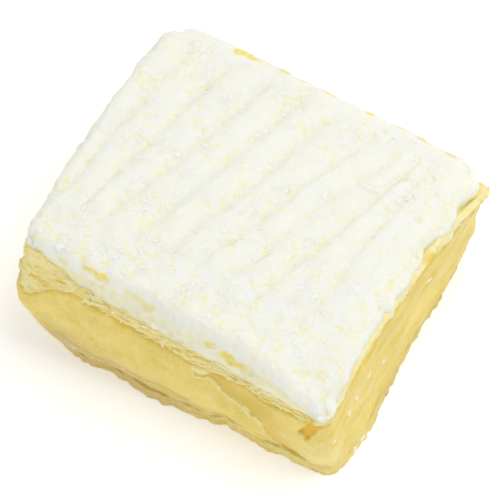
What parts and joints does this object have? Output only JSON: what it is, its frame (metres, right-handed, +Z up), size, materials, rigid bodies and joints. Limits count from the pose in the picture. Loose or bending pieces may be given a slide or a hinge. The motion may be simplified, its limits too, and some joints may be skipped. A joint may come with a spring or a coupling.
{
  "type": "mille feuille slice",
  "caption": "Square-cut slice of layered pastry: thin base, thick custard, flaky pastry lid and combed cream with coconut shreds.",
  "frame": {"origin": "middle of the slice in plan, on the surface it stands on", "axes": "+Z up; +X along the front cut face from left to right; -Y out of the front cut face"},
  "size_m": [0.0877, 0.079, 0.0417],
  "materials": {
    "pastry_base": "moist baked puff pastry, pale golden",
    "custard": "set pastry custard with a soft sheen and knife smears",
    "pastry_lid": "flaky baked puff pastry, pale yellow leaves",
    "cream": "whipped cream, soft and matt, dusted with coconut shreds"
  },
  "bodies": {
    "root": {"pastry_base": "pastry_base", "custard": "custard", "pastry_lid": "pastry_lid", "cream_top": "cream"}
  },
  "joints": []
}
